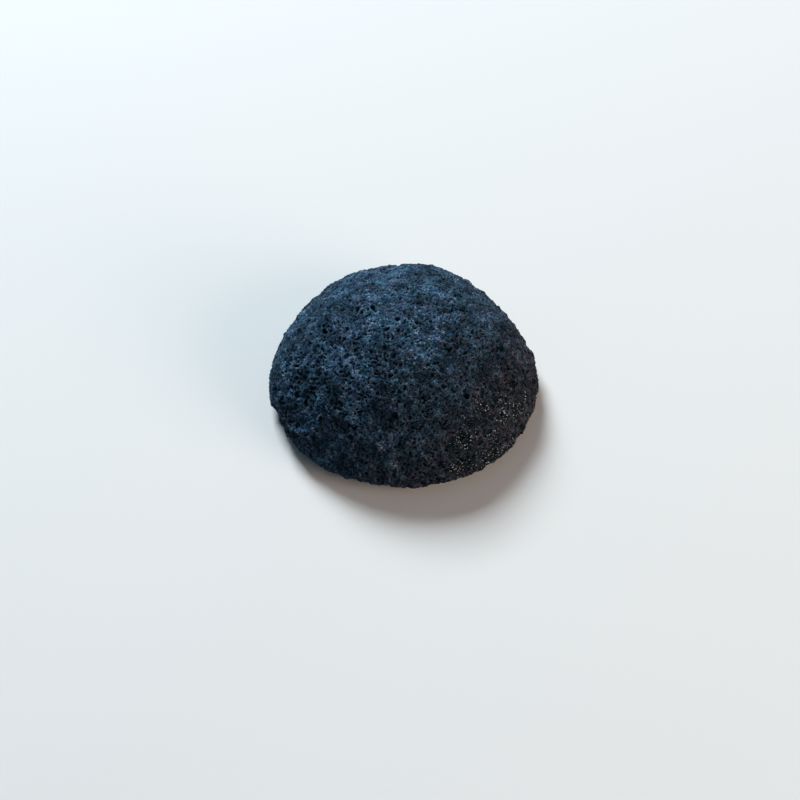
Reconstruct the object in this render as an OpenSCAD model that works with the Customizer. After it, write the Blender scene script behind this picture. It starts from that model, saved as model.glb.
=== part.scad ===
// Konjac sponge: a half ball of moulded charcoal konjac foam that lies on its flat side.
// The skin is open foam: pores pressed into a soft, slightly lumpy dome, with thin ridges left between them.
// Millimetres. The origin is the middle of the flat side, and +Z points up out of it.

/* [Half ball] */
// Widest diameter, before the lumps
sponge_d = 77.4; // [60:0.2:100]
// Height from the flat side to the crown
sponge_h = 36.4; // [28:0.2:52]
// Height of the widest line above the flat side
belly_h = 5.5; // [3:0.5:10]
// How far the rim of the flat side lies inside the widest line
under_in = 5; // [2:0.5:9]
// Roundness of the crown: 2 is a plain arc, less is more pointed
crown_power = 2; // [1.7:0.1:2.4]
// Fullness of the sides: 2 is a plain ellipse, less leans further in
side_power = 1.5; // [1.3:0.05:2.2]
// How late the belly turns under: 2 is a plain arc, more is a tighter turn
under_power = 2.2; // [1.6:0.1:3]

/* [Pores] */
// Distance between neighbouring pores
pore_gap = 2.9; // [2.6:0.1:6]
// Depth of the shallowest pore
pore_shallow = 0.5; // [0.2:0.1:1]
// Depth of the deepest pore
pore_deep = 1.9; // [1.2:0.1:2.6]
// Height of the tallest crumb on the ridges between the pores
crumb_h = 0.45; // [0:0.05:0.8]
// How far a pore or a ridge strays sideways from the even pattern
stray = 0.4; // [0:0.05:0.6]
// Draws another, equally likely skin
skin_seed = 11; // [1:1:99]

/* [Lumps and dents] */
// Height of the soft lumps
lump_h = 0.55; // [0:0.05:1.2]
// Distance from one soft lump to the next
lump_gap = 27; // [16:1:50]
// Depth of the deepest dent
dent_deep = 1.3; // [0:0.1:2.5]

/* [Hidden] */

sponge_r = sponge_d / 2;
foam_colour = [0.055, 0.085, 0.12];

// How far the skin runs on below the flat side, before it is cut off there
overrun = 3;
// Pieces of the outline from the crown to the end of the skin
outline_steps = 180;
// The dome's share of those pieces
dome_share = 0.8;
// The net of the skin has this many points more in each ring than in the ring before
sectors = 5;
// How far each ring is turned against the one before, in degrees
ring_turn = 0.3;

// The dents, each as its angle round the ball, its height as a share of sponge_h, its reach as a share of
// sponge_r and its depth as a share of dent_deep; where the depth is negative, it is a swelling
dent_shares = [
    [199, 0.15, 0.13, 0.40],
    [242, 0.12, 0.30, -0.50],
    [16, 0.32, 0.12, 0.80],
    [42, 0.36, 0.50, 0.60],
    [352, 0.13, 0.44, -0.95],
    [266, 0.06, 0.48, 0.25],
    [188, 0.15, 0.40, -0.55],
    [154, 0.36, 0.34, 0.40],
    [304, 0.11, 0.34, -0.30],
    [279, 0.66, 0.26, 0.50],
    [318, 0.64, 0.16, 0.45],
    [76, 0.70, 0.30, -0.35],
    [128, 0.70, 0.20, 0.30],
];

// The outline as [distance from the axis, height], from the crown to the widest line
function dome_point(turn) =
    [sponge_r * pow(sin(turn), 2 / crown_power),
     belly_h + (sponge_h - belly_h) * pow(cos(turn), 2 / side_power)];

// The outline from the widest line down to the flat side and past it
function under_point(drop) =
    [sponge_r - under_in * pow(drop / belly_h, under_power), belly_h - drop];

dome_steps = round(outline_steps * dome_share);
under_steps = outline_steps - dome_steps;
outline = [
    for (i = [0 : dome_steps]) dome_point(90 * i / dome_steps),
    for (i = [1 : under_steps]) under_point((belly_h + overrun) * i / under_steps),
];

// Length of the outline up to each of its points
run = [for (i = 0, s = 0; i <= outline_steps;
            i = i + 1, s = s + (i <= outline_steps ? norm(outline[i] - outline[i - 1]) : 0)) s];
outline_run = run[outline_steps];
reach_at = [for (i = [0 : outline_steps]) [run[i], outline[i][0]]];
height_at = [for (i = [0 : outline_steps]) [run[i], outline[i][1]]];
function on_outline(s) = [lookup(s, reach_at), lookup(s, height_at)];
// Distance from the axis at each height
reach_up = [for (o = outline) [o[1], o[0]]];

// A pore sits on every third point of the net, so its neighbours lie root 3 net steps away
rings = round(outline_run * sqrt(3) / pore_gap);
ring_step = outline_run / rings;
net_points = 1 + sectors * rings * (rings + 1) / 2;
depth_rolls = rands(0, 1, net_points, skin_seed);
side_rolls = rands(-1, 1, net_points, skin_seed + 1);
down_rolls = rands(-1, 1, net_points, skin_seed + 2);

// Number of the point at place j of ring k
function net_index(k, j) = k == 0 ? 0 : 1 + sectors * k * (k - 1) / 2 + j % (sectors * k);
function is_pore(k, j) = k > 0 && (k + j % k) % 3 == 0;
function faded(x) = let (t = min(max(x, 0), 1)) t * t * (3 - 2 * t);

// Soft lumps: three slow waves that cross each other
function lumps(p) = lump_h / 3 * (
    sin(360 * (p[0] + p[2]) / lump_gap + 40) + sin(360 * (p[1] - p[0] / 2) / lump_gap + 250)
    + sin(360 * (p[2] - p[1]) / lump_gap + 130));

// Depth of all dents at a point
function dent_depth(p) = sum([for (d = dent_shares)
    let (at = sponge_r * [cos(d[0]), sin(d[0])], high = d[1] * sponge_h,
         place = at * lookup(high, reach_up) / sponge_r,
         away = norm(p - [place[0], place[1], high]) / (d[2] * sponge_r))
    dent_deep * d[3] * faded(1 - away)]);
function sum(list) = list * [for (i = list) 1];

// The skin stays plain where it runs on below the flat side
function rough_at(s) = faded((outline_run - s - ring_step) / (2 * ring_step));

function skin_point(k, j) =
    let (i = net_index(k, j),
         rough = rough_at(k * ring_step),
         s = min(k * ring_step + stray * down_rolls[i] * rough, outline_run),
         here = on_outline(s),
         ahead = on_outline(min(s + ring_step / 2, outline_run)) - on_outline(max(s - ring_step / 2, 0)),
         out = [-ahead[1], ahead[0]] / norm(ahead),
         turn = k == 0 ? 0 : 360 * j / (sectors * k) + ring_turn * k
             + (here[0] > stray ? asin(stray * side_rolls[i] * rough / here[0]) : 0),
         around = [cos(turn), sin(turn)],
         plain = [here[0] * around[0], here[0] * around[1], here[1]],
         skin = is_pore(k, j)
             ? -pore_shallow - (pore_deep - pore_shallow) * depth_rolls[i]
             : crumb_h * (depth_rolls[i] - 1 / 2),
         move = rough * (skin + lumps(plain) - dent_depth(plain)))
    plain + move * [out[0] * around[0], out[0] * around[1], out[1]];

module sponge_body() {
    points = [for (k = [0 : rings]) for (j = [0 : max(sectors * k - 1, 0)]) skin_point(k, j)];
    faces = [
        for (k = [1 : rings]) for (w = [0 : sectors - 1]) for (i = [0 : k - 1])
            [net_index(k - 1, w * (k - 1) + i), net_index(k, w * k + i + 1), net_index(k, w * k + i)],
        for (k = [2 : rings]) for (w = [0 : sectors - 1]) for (i = [0 : k - 2])
            [net_index(k - 1, w * (k - 1) + i), net_index(k - 1, w * (k - 1) + i + 1),
             net_index(k, w * k + i + 1)],
        [for (j = [0 : sectors * rings - 1]) net_index(rings, j)],
    ];
    color(foam_colour)
    difference() {
        polyhedron(points, faces, convexity = 4);
        // The cut that makes the flat side
        translate([-sponge_d, -sponge_d, -2 * overrun])
            cube([2 * sponge_d, 2 * sponge_d, 2 * overrun]);
    }
}

sponge_body();
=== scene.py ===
import math
import bmesh
import bpy
import numpy as np
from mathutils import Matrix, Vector, noise


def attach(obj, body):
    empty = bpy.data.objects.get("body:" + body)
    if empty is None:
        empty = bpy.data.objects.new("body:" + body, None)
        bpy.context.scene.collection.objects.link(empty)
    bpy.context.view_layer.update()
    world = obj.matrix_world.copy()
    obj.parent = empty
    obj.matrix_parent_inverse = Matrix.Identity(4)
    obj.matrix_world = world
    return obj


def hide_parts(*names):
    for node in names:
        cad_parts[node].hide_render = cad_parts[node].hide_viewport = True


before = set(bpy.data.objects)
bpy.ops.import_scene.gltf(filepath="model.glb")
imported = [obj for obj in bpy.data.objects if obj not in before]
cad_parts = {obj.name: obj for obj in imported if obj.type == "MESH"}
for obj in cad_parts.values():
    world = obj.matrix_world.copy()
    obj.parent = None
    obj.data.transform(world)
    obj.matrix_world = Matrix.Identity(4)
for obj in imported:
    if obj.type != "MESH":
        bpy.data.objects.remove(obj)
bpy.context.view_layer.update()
mm = 0.001
print("frame loaded")

# camera first: the photograph looks down on the dome from the front
cameraView = {
    "elevation": 50.5,  # degrees above the floor
    "distance": 540 * mm,
    "lens": 82.3,
    "sensor": 36,
    "nearest": 10 * mm,
    "aside": -0.92 * mm,  # where the middle of the picture falls, seen from the flat side's middle
    "down": -2.63 * mm,
}


def addCamera(view):
    data = bpy.data.cameras.new("photoCamera")
    data.lens = view["lens"]
    data.sensor_width = view["sensor"]
    data.clip_start = view["nearest"]
    cam = bpy.data.objects.new("photoCamera", data)
    bpy.context.scene.collection.objects.link(cam)
    tilt = math.radians(view["elevation"])
    forward = Vector((0, math.cos(tilt), -math.sin(tilt)))
    up = Vector((0, math.sin(tilt), math.cos(tilt)))
    cam.location = -forward * view["distance"] + Vector((view["aside"], 0, 0)) + up * view["down"]
    cam.rotation_euler = (math.pi / 2 - tilt, 0, 0)
    bpy.context.scene.camera = cam


addCamera(cameraView)
print("camera placed")

# the plain form that the foam was cast in
spongeForm = {
    "radius": 38.7 * mm,
    "height": 36.4 * mm,
    "bellyHeight": 5.5 * mm,
    "underIn": 5 * mm,  # how far the flat side's rim lies inside the belly
    "crownPower": 2,
    "sidePower": 1.5,
    "underPower": 2.2,
    "lumpHeight": 0.55 * mm,
    "lumpGap": 27 * mm,
    "lumpStarts": (40, 250, 130),  # where each of the three waves begins, in degrees
    "dentDepth": 1.3 * mm,
    # angle round the ball, height share, reach share, depth share; a negative depth swells
    "dents": [
        (199, 0.15, 0.13, 0.40), (242, 0.12, 0.30, -0.50), (16, 0.32, 0.12, 0.80),
        (42, 0.36, 0.50, 0.60), (352, 0.13, 0.44, -0.95), (266, 0.06, 0.48, 0.25), (188, 0.15, 0.40, -0.55),
        (154, 0.36, 0.34, 0.40), (304, 0.11, 0.34, -0.30), (279, 0.66, 0.26, 0.50),
        (318, 0.64, 0.16, 0.45), (76, 0.70, 0.30, -0.35), (128, 0.70, 0.20, 0.30),
    ],
    "plainBelow": 0.01 * mm,  # the flat side has no lumps and no dents
    "fullAbove": 1.5 * mm,  # from this height up they are as large as they get
    "joinWithin": 0.01 * mm,  # points nearer than this become one
    "domeSteps": 60,
    "underSteps": 12,
    "flatSteps": 16,
    "turnSteps": 144,
    "grain": 0.25 * mm,  # size of the mesh's faces
}


def reachAt(form, z):
    if z >= form["bellyHeight"]:
        high = (z - form["bellyHeight"]) / (form["height"] - form["bellyHeight"])
        return form["radius"] * (1 - high ** form["sidePower"]) ** (1 / form["crownPower"])
    drop = (form["bellyHeight"] - z) / form["bellyHeight"]
    return form["radius"] - form["underIn"] * drop ** form["underPower"]


def castDome(form):
    outline = []
    for i in range(form["domeSteps"] + 1):
        turn = math.pi / 2 * i / form["domeSteps"]
        reach = form["radius"] * math.sin(turn) ** (2 / form["crownPower"])
        rise = (form["height"] - form["bellyHeight"]) * math.cos(turn) ** (2 / form["sidePower"])
        outline.append((reach, form["bellyHeight"] + rise))
    for i in range(1, form["underSteps"] + 1):
        z = form["bellyHeight"] * (1 - i / form["underSteps"])
        outline.append((reachAt(form, z), z))
    rim = reachAt(form, 0)
    for i in range(1, form["flatSteps"] + 1):
        outline.append((rim * (1 - i / form["flatSteps"]), 0))
    bm = bmesh.new()
    verts = [bm.verts.new((r, 0, z)) for r, z in outline]
    edges = [bm.edges.new(pair) for pair in zip(verts, verts[1:])]
    bmesh.ops.spin(bm, geom=verts + edges, cent=(0, 0, 0), axis=(0, 0, 1), dvec=(0, 0, 0),
                   angle=2 * math.pi, steps=form["turnSteps"], use_merge=True)
    bmesh.ops.remove_doubles(bm, verts=bm.verts, dist=form["joinWithin"])
    bmesh.ops.recalc_face_normals(bm, faces=bm.faces)
    return bm


def eased(x):
    x = min(max(x, 0), 1)
    return x * x * (3 - 2 * x)


def lumpsAt(form, p):
    turn = 2 * math.pi / form["lumpGap"]
    ways = (p.x + p.z, p.y - p.x / 2, p.z - p.y)
    waves = [math.sin(turn * way + math.radians(start)) for way, start in zip(ways, form["lumpStarts"])]
    return form["lumpHeight"] / 3 * (waves[0] + waves[1] + waves[2])


def pressDents(bm, form):
    bm.normal_update()
    places = []
    for angle, highShare, reachShare, depthShare in form["dents"]:
        z = highShare * form["height"]
        r = reachAt(form, z)
        turn = math.radians(angle)
        place = Vector((r * math.cos(turn), r * math.sin(turn), z))
        places.append((place, reachShare * form["radius"], depthShare * form["dentDepth"]))
    moves = []
    for v in bm.verts:
        if v.co.z < form["plainBelow"]:
            moves.append(Vector())
            continue
        out = lumpsAt(form, v.co) - sum(
            depth * eased(1 - (v.co - place).length / reach) for place, reach, depth in places)
        moves.append(v.normal * out * eased(v.co.z / form["fullAbove"]))
    for v, move in zip(bm.verts, moves):
        v.co += move


def remeshed(mesh, size):
    obj = bpy.data.objects.new("castForm", mesh)
    bpy.context.scene.collection.objects.link(obj)
    mod = obj.modifiers.new("evenFaces", "REMESH")
    mod.mode = "VOXEL"
    mod.voxel_size = size
    depsgraph = bpy.context.evaluated_depsgraph_get()
    even = bpy.data.meshes.new_from_object(obj.evaluated_get(depsgraph))
    bpy.data.objects.remove(obj)
    return even


# the cells that the foam froze into, from wide to fine
foamCells = {
    "seed": 5,
    "levels": [  # gap between cells, chance that one is there, smallest and largest radius per gap
        (3.0 * mm, 0.50, 0.15, 0.32),
        (1.45 * mm, 0.60, 0.20, 0.41),
        (0.75 * mm, 0.55, 0.34, 0.58),
    ],
    "skin": 0.10 * mm,  # a cell under more skin than this stays shut
    "deepest": 1.5 * mm,
    "warps": [(0.60 * mm, 1.9 * mm), (0.26 * mm, 0.8 * mm)],  # pull that brings cells out of round, and gap
    "crumbs": [(0.16 * mm, 0.5 * mm), (0.38 * mm, 1.1 * mm), (0.66 * mm, 2.8 * mm)],  # height and gap
    "crumbsFrom": 0.02 * mm,  # the flat side stays flat
    "swell": 0.3,  # by how much the cells are wider in some patches and tighter in others
    "swellGap": 5.5 * mm,
    "ridgeRise": 0.125 * mm,  # from a hollow to a full ridge
}


def readPoints(mesh, collection, key):
    flat = np.empty(len(collection) * 3)
    collection.foreach_get(key, flat)
    return flat.reshape(-1, 3)


def noiseOver(places, kind, height, gap):
    return height * np.array([kind(Vector(p) / gap) for p in places])


def carveCells(mesh, cells):
    places = readPoints(mesh, mesh.vertices, "co")
    normals = readPoints(mesh, mesh.vertex_normals, "vector")
    noise.seed_set(cells["seed"])
    pulled = places + sum(noiseOver(places, noise.noise_vector, *warp) for warp in cells["warps"])
    swell = 1 + noiseOver(places, noise.noise, cells["swell"], cells["swellGap"])
    rng = np.random.default_rng(cells["seed"])
    depth = np.zeros(len(places))
    for gap, chance, smallest, largest in cells["levels"]:
        low = pulled.min(0) - 2 * gap  # the grid of cells reaches past the outermost points
        counts = np.ceil((pulled.max(0) - low) / gap).astype(int) + 3
        centres = low + (np.stack(np.indices(counts), -1) + rng.random((*counts, 3))) * gap
        radii = gap * rng.uniform(smallest, largest, counts) * (rng.random(counts) < chance)
        home = np.floor((pulled - low) / gap).astype(int)
        for step in np.ndindex(3, 3, 3):
            cell = tuple((home + step - 1).T)
            fromCentre = pulled - centres[cell]
            along = (fromCentre * normals).sum(1)
            across = (radii[cell] * swell) ** 2 - (fromCentre ** 2).sum(1)
            half = np.sqrt(np.maximum(across + along ** 2, 0))
            opened = (half > 0) & (along - half < cells["skin"]) & (along + half > depth)
            depth[opened] = (along + half)[opened]
    depth = np.minimum(depth, cells["deepest"])
    crumbs = sum(noiseOver(places, noise.noise, *crumb) for crumb in cells["crumbs"])
    crumbs[places[:, 2] < cells["crumbsFrom"]] = 0
    places += normals * (crumbs - depth)[:, None]
    places[:, 2] = np.maximum(places[:, 2], 0)
    mesh.vertices.foreach_set("co", places.ravel())
    mesh.update()
    return depth / cells["deepest"]


# where the skin's texture lies on its sheet: a disc for the dome and a small one for the flat side
skinSheet = {
    "domeMiddle": (0.432, 0.432),
    "domeRadius": 0.425,
    "flatMiddle": (0.840, 0.840),
    "flatRadius": 0.150,
    "flatBelow": 0.05 * mm,  # faces that lie wholly below this belong to the flat side
}


def layOutSkin(mesh, form, sheet):
    places = readPoints(mesh, mesh.vertices, "co")
    around = np.arctan2(places[:, 1], places[:, 0])
    fromMiddle = np.maximum(np.linalg.norm(places, axis=1), form["grain"])
    fromCrown = np.arccos(np.clip(places[:, 2] / fromMiddle, 0, 1)) / (math.pi / 2)
    dome = np.stack([np.cos(around), np.sin(around)], 1) * fromCrown[:, None] * sheet["domeRadius"]
    below = places[:, :2] * (-1, 1) / form["radius"] * sheet["flatRadius"]  # as seen from below
    corners = np.empty(len(mesh.loops), int)
    mesh.loops.foreach_get("vertex_index", corners)
    starts = np.empty(len(mesh.polygons), int)
    mesh.polygons.foreach_get("loop_start", starts)
    flat = np.minimum.reduceat(places[corners, 2] < sheet["flatBelow"], starts)
    flat = np.repeat(flat, np.diff(starts, append=len(corners)))
    spots = np.where(flat[:, None],
                     below[corners] + sheet["flatMiddle"], dome[corners] + sheet["domeMiddle"])
    mesh.uv_layers.new(name="OFBake").uv.foreach_set("vector", spots.ravel())


def ridgeShares(mesh, cells):
    places = readPoints(mesh, mesh.vertices, "co")
    normals = readPoints(mesh, mesh.vertex_normals, "vector")
    pairs = np.empty(len(mesh.edges) * 2, int)
    mesh.edges.foreach_get("vertices", pairs)
    first, second = pairs.reshape(-1, 2).T
    count = len(places)
    mates = np.bincount(first, minlength=count) + np.bincount(second, minlength=count)

    def nextTo(values):  # mean of each point's neighbours
        total = np.bincount(first, values[second], count) + np.bincount(second, values[first], count)
        return total / mates

    around = np.stack([nextTo(places[:, k]) for k in range(3)], 1)
    rise = ((places - around) * normals).sum(1)
    rise = (rise + nextTo(rise)) / 2
    return np.clip(0.5 + rise / cells["ridgeRise"], 0, 1)


def addShare(mesh, name, values):
    layer = mesh.attributes.new(name, "FLOAT", "POINT")
    layer.data.foreach_set("value", values.astype(np.float32))


bm = castDome(spongeForm)
pressDents(bm, spongeForm)
castMesh = bpy.data.meshes.new("castForm")
bm.to_mesh(castMesh)
bm.free()
foamMesh = remeshed(castMesh, spongeForm["grain"])
foamMesh.name = "spongeFoam"
print("form cast", len(foamMesh.vertices), "points")
layOutSkin(foamMesh, spongeForm, skinSheet)
cellDepth = carveCells(foamMesh, foamCells)
foamMesh.shade_smooth()
addShare(foamMesh, "cellDepth", cellDepth)
addShare(foamMesh, "ridge", ridgeShares(foamMesh, foamCells))
sponge = bpy.data.objects.new("spongeFoam", foamMesh)
bpy.context.scene.collection.objects.link(sponge)
print("cells carved")


def nodeMaker(tree):
    def added(kind, values, **settings):
        node = tree.nodes.new("ShaderNode" + kind)
        for name, setting in settings.items():
            setattr(node, name, setting)
        for slot, value in values.items():
            if isinstance(value, bpy.types.NodeSocket):
                tree.links.new(value, node.inputs[slot])
            else:
                node.inputs[slot].default_value = value
        return node.outputs
    return added


# blue-black charcoal foam with painted highlights, painted glints and painted shade, and a little moist on
# one side
charcoal = {
    "wall": (0.009, 0.043, 0.098, 1),
    # painted highlight, mixed in where the surface bulges out into ridges
    "ridge": (0.091, 0.145, 0.200, 1),
    "ridgeRange": (0.30, 0.90),
    "skin": (0.190, 0.236, 0.286, 1),  # thin skins between the cells
    "skinGap": 1.5 * mm,
    "skinPull": 1,
    "skinRange": (0.01, 0.11),
    "skinMost": 0.5,
    # painted highlights, in small light flecks
    "fleckHighlight": (0.520, 0.565, 0.620, 1),
    "fleckHighlightGap": (0.62 * mm, 0.62 * mm, 0.30 * mm),  # the painted highlight flecks lie flat along the dome
    "fleckHighlightRange": (0.54, 0.78),
    # painted shade in the hollows of the carved cells
    "pitShade": (0.0002, 0.0046, 0.0155, 1),
    "pitShadeRange": (0.04, 0.62),
    "mottles": [  # gap, and what the darkest and the lightest patches are toned with
        (10.5 * mm, (0.79, 0.77, 0.77, 1), (1.22, 1.24, 1.25, 1)),
        (5.5 * mm, (0.42, 0.42, 0.42, 1), (1, 1, 1, 1)),
        (3.6 * mm, (1.0, 0.86, 0.90, 1), (0.80, 1.0, 1.0, 1)),
        (1.8 * mm, (0.25, 0.35, 0.40, 1), (1, 1, 1, 1)),
    ],
    "mottleRange": (0.32, 0.68),
    "shadedSideWay": (0.75, -0.35, -0.55),  # painted shade and warm light: the side low and to the right is darker and greyer
    "shadedSideRange": (-12 * mm, 22 * mm),
    "shadedSideGap": 1.6 * mm,
    "shadedSidePatches": (0.39, 0.55),
    "shadedSideDark": (0.10, 0.055, 0.046, 1),  # what its darkest and its lightest patches are toned with
    "shadedSideTone": (1.08, 0.59, 0.49, 1),
    "crease": (0.104, 0.130, 0.168, 1),  # lighter lines along the edges of the crumpled skin, only on that painted shaded side
    "creaseGap": (3.4 * mm, 3.4 * mm, 1.6 * mm),
    "creasePull": 1.6,
    "creaseRange": (0.008, 0.05),
    "creaseMost": 0.6,
    "filmMiddle": (27 * mm, -27 * mm, 8 * mm),  # films of water lie in patches around here
    "filmReach": (8 * mm, 30 * mm),
    "filmPatch": 4.6 * mm,
    "filmPull": 0.40,
    "filmRange": (0.77, 0.93),
    "filmTone": (0.32, 0.24, 0.21, 1),
    "filmGap": 0.45 * mm,
    "filmTilt": 0.75,
    "paintedGlint": (0.92, 0.92, 0.94, 1),  # painted glints, short and bright, on the edges of those films
    "glintGap": 1.1 * mm,
    "glintPull": 0.6,
    "glintWidth": (0.03, 0.12),
    "glintBreak": 0.55 * mm,
    "glintRange": (0.56, 0.65),
    "glintSpots": 0.36 * mm,
    "spotRange": (0.42, 0.66),
    "dryRoughness": 0.85,
    "wetRoughness": 0.29,
    "specular": 0.09,
    "specularTint": (0.25, 0.75, 1.0, 1),
    "bumpGap": 0.26 * mm,
    "bump": 0.25,
    "bumpHeight": 0.1 * mm,
}


def charcoalFoam(look):
    mat = bpy.data.materials.new("charcoalFoam")
    mat.use_nodes = True
    added = nodeMaker(mat.node_tree)
    place = added("TexCoord", {})["Object"]

    def vectorMath(operation, *values):
        return added("VectorMath", dict(enumerate(values)), operation=operation)

    def timesPlus(first, second, more=0):
        return added("Math", {0: first, 1: second, 2: more}, operation="MULTIPLY_ADD")[0]

    def inGaps(gap):
        return vectorMath("DIVIDE", place, gap if isinstance(gap, tuple) else (gap, gap, gap))[0]

    def noiseAt(gap, detail=2):
        return added("TexNoise", {"Vector": inGaps(gap), "Scale": 1, "Detail": detail})["Fac"]

    def shareOf(name):
        return added("Attribute", {}, attribute_name=name)["Fac"]

    def ranged(value, low, high, toLow=0, toHigh=1):
        return added("MapRange", {"Value": value, "From Min": low, "From Max": high,
                                  "To Min": toLow, "To Max": toHigh}, interpolation_type="SMOOTHSTEP")[0]

    def mixed(share, first, second, kind="MIX"):
        return added("Mix", {0: share, 6: first, 7: second}, data_type="RGBA", blend_type=kind)[2]

    def toned(colour, tone):
        return mixed(1.0, colour, tone, "MULTIPLY")

    def netLines(gap, pull, low, high, most=1):  # the walls of a net of cells that is pulled about
        wander = added("TexNoise", {"Vector": inGaps(gap), "Scale": 1})["Color"]
        wander = vectorMath("MULTIPLY", wander, (pull, pull, pull))[0]
        pulled = vectorMath("ADD", inGaps(gap), wander)[0]
        net = added("TexVoronoi", {"Vector": pulled, "Scale": 1}, feature="DISTANCE_TO_EDGE")
        return ranged(net["Distance"], low, high, most, 0)

    def tilted(gap, tilt):
        cells = added("TexVoronoi", {"Vector": inGaps(gap), "Scale": 1})["Color"]
        lean = vectorMath("MULTIPLY", cells, (tilt, tilt, tilt))[0]
        lean = vectorMath("SUBTRACT", lean, (tilt / 2, tilt / 2, tilt / 2))[0]
        leaning = vectorMath("ADD", added("NewGeometry", {})["Normal"], lean)[0]
        return vectorMath("NORMALIZE", leaning)[0]

    # ridges get a painted highlight over the darker wall colour
    colour = mixed(ranged(shareOf("ridge"), *look["ridgeRange"]), look["wall"], look["ridge"])
    skins = netLines(look["skinGap"], look["skinPull"], *look["skinRange"], look["skinMost"])
    colour = mixed(skins, colour, look["skin"])
    # light flecks: a painted highlight
    colour = mixed(ranged(noiseAt(look["fleckHighlightGap"]), *look["fleckHighlightRange"]), colour, look["fleckHighlight"])
    # painted shade in the cells' hollows, deeper cells darker
    colour = mixed(ranged(shareOf("cellDepth"), *look["pitShadeRange"]), colour, look["pitShade"])
    for gap, darkest, lightest in look["mottles"]:
        colour = toned(colour, mixed(ranged(noiseAt(gap), *look["mottleRange"]), darkest, lightest))
    # painted shade and warm light on the side low and to the right
    shadedSide = ranged(vectorMath("DOT_PRODUCT", place, look["shadedSideWay"])["Value"], *look["shadedSideRange"])
    patches = ranged(noiseAt(look["shadedSideGap"]), *look["shadedSidePatches"])
    colour = mixed(shadedSide, colour, toned(colour, mixed(patches, look["shadedSideDark"], look["shadedSideTone"])))
    creases = netLines(look["creaseGap"], look["creasePull"], *look["creaseRange"], look["creaseMost"])
    colour = mixed(timesPlus(creases, shadedSide), colour, look["crease"])
    away = vectorMath("DISTANCE", place, look["filmMiddle"])["Value"]
    near = ranged(away, *look["filmReach"], toLow=1, toHigh=0)
    wet = ranged(timesPlus(near, look["filmPull"], noiseAt(look["filmPatch"])), *look["filmRange"])
    colour = mixed(wet, colour, toned(colour, look["filmTone"]))
    # painted glints along the edges of the water films
    edges = netLines(look["glintGap"], look["glintPull"], *look["glintWidth"])
    broken = ranged(noiseAt(look["glintBreak"], detail=0), *look["glintRange"])
    spots = ranged(noiseAt(look["glintSpots"], detail=0), *look["spotRange"])
    paintedGlints = timesPlus(timesPlus(edges, broken), timesPlus(spots, wet))
    colour = mixed(paintedGlints, colour, look["paintedGlint"])
    roughness = ranged(wet, 0, 1, look["dryRoughness"], look["wetRoughness"])

    bumps = added("Bump", {"Strength": look["bump"], "Distance": look["bumpHeight"],
                           "Height": noiseAt(look["bumpGap"], detail=3)})["Normal"]
    films = tilted(look["filmGap"], look["filmTilt"])
    normal = added("Mix", {0: wet, 4: bumps, 5: films}, data_type="VECTOR")[1]
    shader = mat.node_tree.nodes["Principled BSDF"]
    shader.inputs["Specular IOR Level"].default_value = look["specular"]
    shader.inputs["Specular Tint"].default_value = look["specularTint"]
    mat.node_tree.links.new(colour, shader.inputs["Base Color"])
    mat.node_tree.links.new(roughness, shader.inputs["Roughness"])
    mat.node_tree.links.new(normal, shader.inputs["Normal"])
    return mat


foamMesh.materials.append(charcoalFoam(charcoal))
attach(sponge, "root")
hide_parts("sponge_body")
print("foam coloured")

# plain pale floor and soft light
studio = {
    "floorSize": 4.0,
    "floorFade": (0.15, 0.80),  # between these distances the floor fades into the white background
    "floorRoughness": 0.9,
    "floorColour": (0.96, 0.84, 0.76, 1),
    "floorBounce": (0.12, 0.11, 0.10, 1),  # what the floor sends back up
    "skyLight": (0.052, 0.092, 0.130, 1),
    "white": (1, 1, 1, 1),
    "lamps": [  # name, place, size, power, colour
        ("keyLamp", (-0.50, 1.15, 1.22), 0.63, 39, (0.69, 0.87, 1.0)),
        ("fillLamp", (0.80, -0.50, 0.40), 0.60, 5, (1.0, 0.86, 0.74)),
    ],
}


def seenDirectly(added):
    path = added("LightPath", {})
    share = path["Is Camera Ray"]
    for ray in ("Is Glossy Ray", "Is Transmission Ray"):
        share = added("Math", {0: share, 1: path[ray]}, operation="MAXIMUM")[0]
    return share


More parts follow.
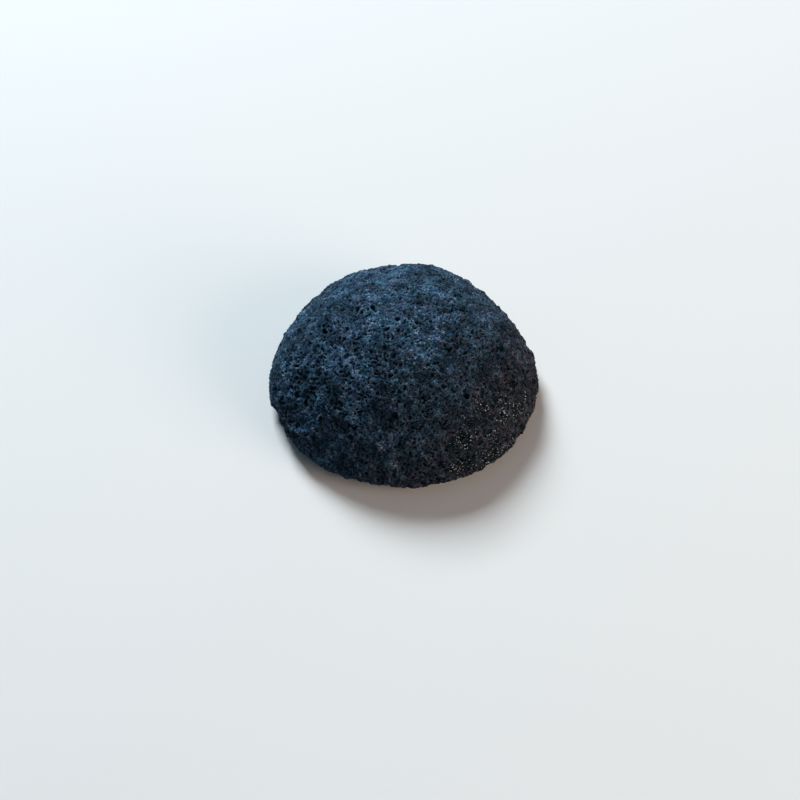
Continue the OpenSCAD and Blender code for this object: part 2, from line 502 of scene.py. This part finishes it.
def floorPaint(look):
    mat = bpy.data.materials.new("floorPaint")
    mat.use_nodes = True
    added = nodeMaker(mat.node_tree)
    seen = seenDirectly(added)
    colour = added("Mix", {0: seen, 6: look["floorBounce"], 7: look["floorColour"]}, data_type="RGBA")[2]
    paint = added("BsdfPrincipled", {"Base Color": colour, "Roughness": look["floorRoughness"]})[0]
    away = added("VectorMath", {0: added("TexCoord", {})["Object"]}, operation="LENGTH")["Value"]
    low, high = look["floorFade"]
    far = added("MapRange", {"Value": away, "From Min": low, "From Max": high},
                interpolation_type="SMOOTHSTEP")[0]
    faded = added("Math", {0: far, 1: seen}, operation="MULTIPLY")[0]
    white = added("Emission", {"Color": look["white"]})[0]
    both = added("MixShader", {0: faded, 1: paint, 2: white})[0]
    mat.node_tree.links.new(both, mat.node_tree.nodes["Material Output"].inputs["Surface"])
    return mat


def addFloor(look):
    bm = bmesh.new()
    bmesh.ops.create_grid(bm, x_segments=1, y_segments=1, size=look["floorSize"] / 2)
    mesh = bpy.data.meshes.new("floor")
    bm.to_mesh(mesh)
    bm.free()
    mesh.materials.append(floorPaint(look))
    floor = bpy.data.objects.new("floor", mesh)
    bpy.context.scene.collection.objects.link(floor)


def addSoftLamp(name, place, size, power, colour):
    data = bpy.data.lights.new(name, "AREA")
    data.size = size
    data.energy = power
    data.color = colour
    lamp = bpy.data.objects.new(name, data)
    lamp.location = place
    lamp.rotation_euler = (-Vector(place)).to_track_quat("-Z", "Y").to_euler()
    bpy.context.scene.collection.objects.link(lamp)


def addWorld(look):
    world = bpy.data.worlds.new("studio")
    bpy.context.scene.world = world
    world.use_nodes = True
    added = nodeMaker(world.node_tree)
    seen = seenDirectly(added)
    colour = added("Mix", {0: seen, 6: look["skyLight"], 7: look["white"]}, data_type="RGBA")[2]
    world.node_tree.links.new(colour, world.node_tree.nodes["Background"].inputs["Color"])


addFloor(studio)
addWorld(studio)
for lamp in studio["lamps"]:
    addSoftLamp(*lamp)
bpy.context.scene.view_settings.view_transform = "Standard"
print("stage set")
